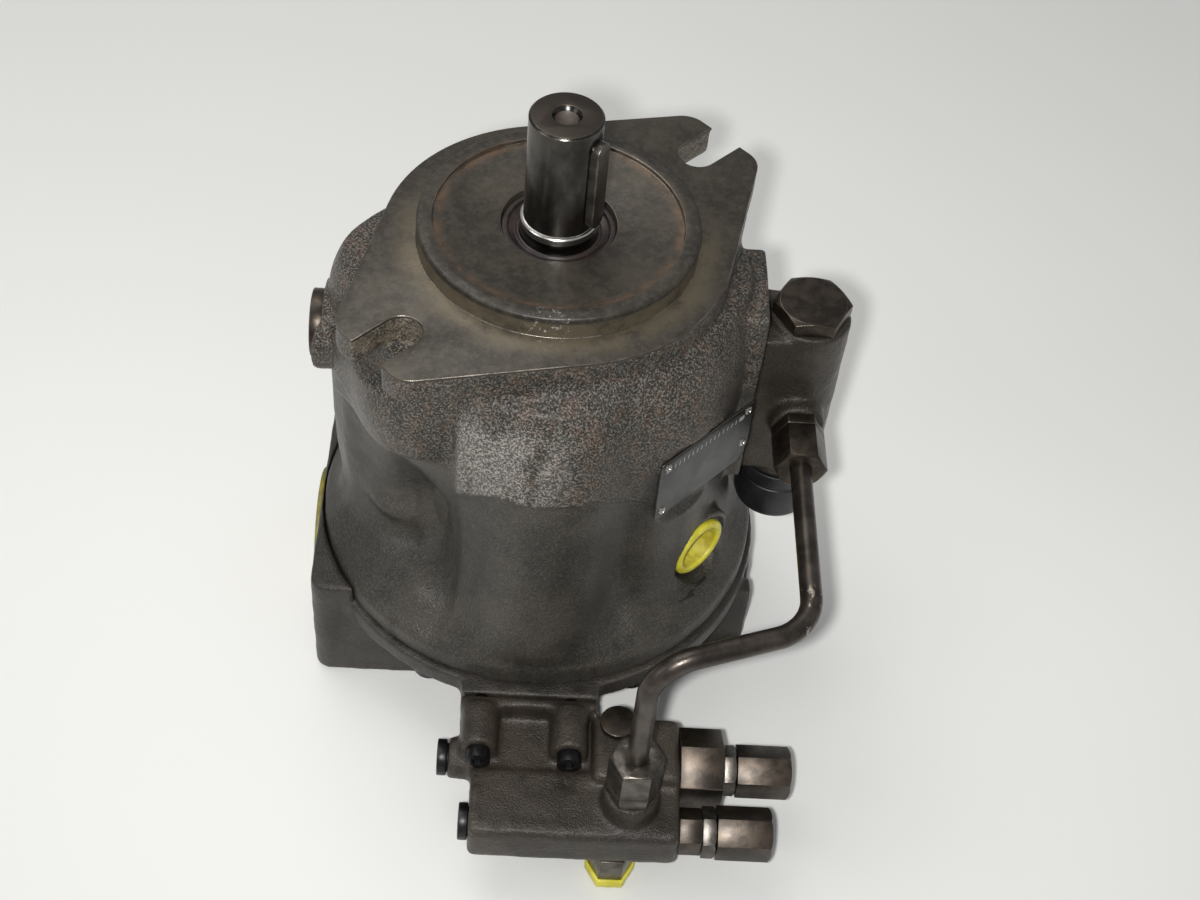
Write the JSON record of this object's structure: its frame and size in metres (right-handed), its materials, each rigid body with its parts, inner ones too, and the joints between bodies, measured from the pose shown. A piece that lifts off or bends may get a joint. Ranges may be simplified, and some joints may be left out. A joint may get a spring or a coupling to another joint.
{
  "type": "axial piston pump",
  "caption": "Swashplate axial piston pump: flanged cast case, keyed shaft, power controller, bent control line and a two-spool control valve with adjusters.",
  "frame": {"origin": "centre of the mounting flange's face, on the shaft axis", "axes": "+Z along the shaft towards its keyed end, -Y towards the control valve, +X towards the pressure port and the power controller"},
  "size_m": [0.2525, 0.2971, 0.318],
  "materials": {
    "cast_iron_case": "oily rough cast iron with machined faces",
    "dark_steel": "dark polished steel",
    "bright_steel": "ground steel",
    "bronzed_steel": "brown phosphated steel",
    "black_steel": "black oxide",
    "spring_steel": "spring wire",
    "bronze_bush": "bearing bronze",
    "black_rubber": "matt rubber",
    "yellow_plastic": "yellow transport plastic",
    "plate_metal": "satin grey plate"
  },
  "bodies": {
    "case": {"adjuster_locknuts": "bronzed_steel", "control_piston": "bright_steel", "control_piston_guide": "bright_steel", "control_tube": "bronzed_steel", "controller_end_cap": "black_rubber", "controller_hex_plug": "bronzed_steel", "controller_housing": "cast_iron_case", "controller_line_fitting": "bronzed_steel", "controller_line_nut": "bronzed_steel", "controller_spring": "spring_steel", "controller_stop_screw": "black_steel", "cradle_bearings": "bronze_bush", "drain_port_plug": "yellow_plastic", "front_bearing_cup": "bright_steel", "housing_o_ring": "black_rubber", "load_sense_cap": "yellow_plastic", "load_sense_fitting": "bronzed_steel", "lower_adjuster_housing": "bronzed_steel", "lower_spring": "spring_steel", "nameplate": "plate_metal", "nameplate_rivets": "bright_steel", "port_plate": "cast_iron_case", "port_plate_screws": "black_steel", "pump_housing": "cast_iron_case", "rear_bearing_cup": "bright_steel", "return_spring": "spring_steel", "return_spring_guide": "bright_steel", "shaft_seal": "black_rubber", "side_drain_plug": "bronzed_steel", "spring_seats": "bright_steel", "suction_port_cover": "yellow_plastic", "swashplate": "bright_steel", "upper_adjuster_housing": "bronzed_steel", "upper_spring": "spring_steel", "valve_body": "cast_iron_case", "valve_end_plugs": "black_steel", "valve_line_fitting": "bronzed_steel", "valve_line_nut": "bronzed_steel", "valve_plate": "bronze_bush", "valve_screws": "black_steel", "valve_top_plug": "bronzed_steel"},
    "rotating_group": {"drive_shaft": "dark_steel", "shaft_key": "dark_steel", "front_bearing_cone": "bright_steel", "front_bearing_rollers": "bright_steel", "rear_bearing_cone": "bright_steel", "rear_bearing_rollers": "bright_steel", "cylinder_block": "bright_steel", "pistons": "bright_steel", "slippers": "bronze_bush", "retaining_plate": "bright_steel", "retaining_ball": "bright_steel", "block_spring": "spring_steel"},
    "upper_spool_body": {"upper_spool": "bright_steel"},
    "lower_spool_body": {"lower_spool": "bright_steel"},
    "controller_spool_body": {"controller_spool": "bright_steel"},
    "upper_set_screw_body": {"upper_set_screw": "black_steel"},
    "lower_set_screw_body": {"lower_set_screw": "black_steel"},
    "upper_cap_nut_body": {"upper_cap_nut": "bronzed_steel"},
    "lower_cap_nut_body": {"lower_cap_nut": "bronzed_steel"}
  },
  "joints": [
    {"name": "shaft_spin", "type": "hinge", "parent": "case", "child": "rotating_group", "pos_m": [0, 0, 0], "axis": [0, 0, 1], "continuous": true},
    {"name": "upper_spool_slide", "type": "slide", "parent": "case", "child": "upper_spool_body", "axis": [1, 0, 0], "range_m": [-0.003, 0.003], "stiffness_N_per_m": 3000, "deforming": ["upper_spring"]},
    {"name": "lower_spool_slide", "type": "slide", "parent": "case", "child": "lower_spool_body", "axis": [1, 0, 0], "range_m": [-0.003, 0.003], "stiffness_N_per_m": 3000, "deforming": ["lower_spring"]},
    {"name": "controller_spool_slide", "type": "slide", "parent": "case", "child": "controller_spool_body", "axis": [0, 0, 1], "range_m": [-0.002, 0.003], "stiffness_N_per_m": 3000, "deforming": ["controller_spring"]},
    {"name": "upper_set_screw_turn", "type": "hinge", "parent": "case", "child": "upper_set_screw_body", "pos_m": [0.09, -0.139, -0.2115], "axis": [1, 0, 0], "range_deg": [-720, 720]},
    {"name": "lower_set_screw_turn", "type": "hinge", "parent": "case", "child": "lower_set_screw_body", "pos_m": [0.09, -0.172, -0.213], "axis": [1, 0, 0], "range_deg": [-720, 720]},
    {"name": "upper_cap_nut_turn", "type": "hinge", "parent": "case", "child": "upper_cap_nut_body", "pos_m": [0.09, -0.139, -0.2115], "axis": [1, 0, 0], "continuous": true},
    {"name": "lower_cap_nut_turn", "type": "hinge", "parent": "case", "child": "lower_cap_nut_body", "pos_m": [0.09, -0.172, -0.213], "axis": [1, 0, 0], "continuous": true}
  ]
}
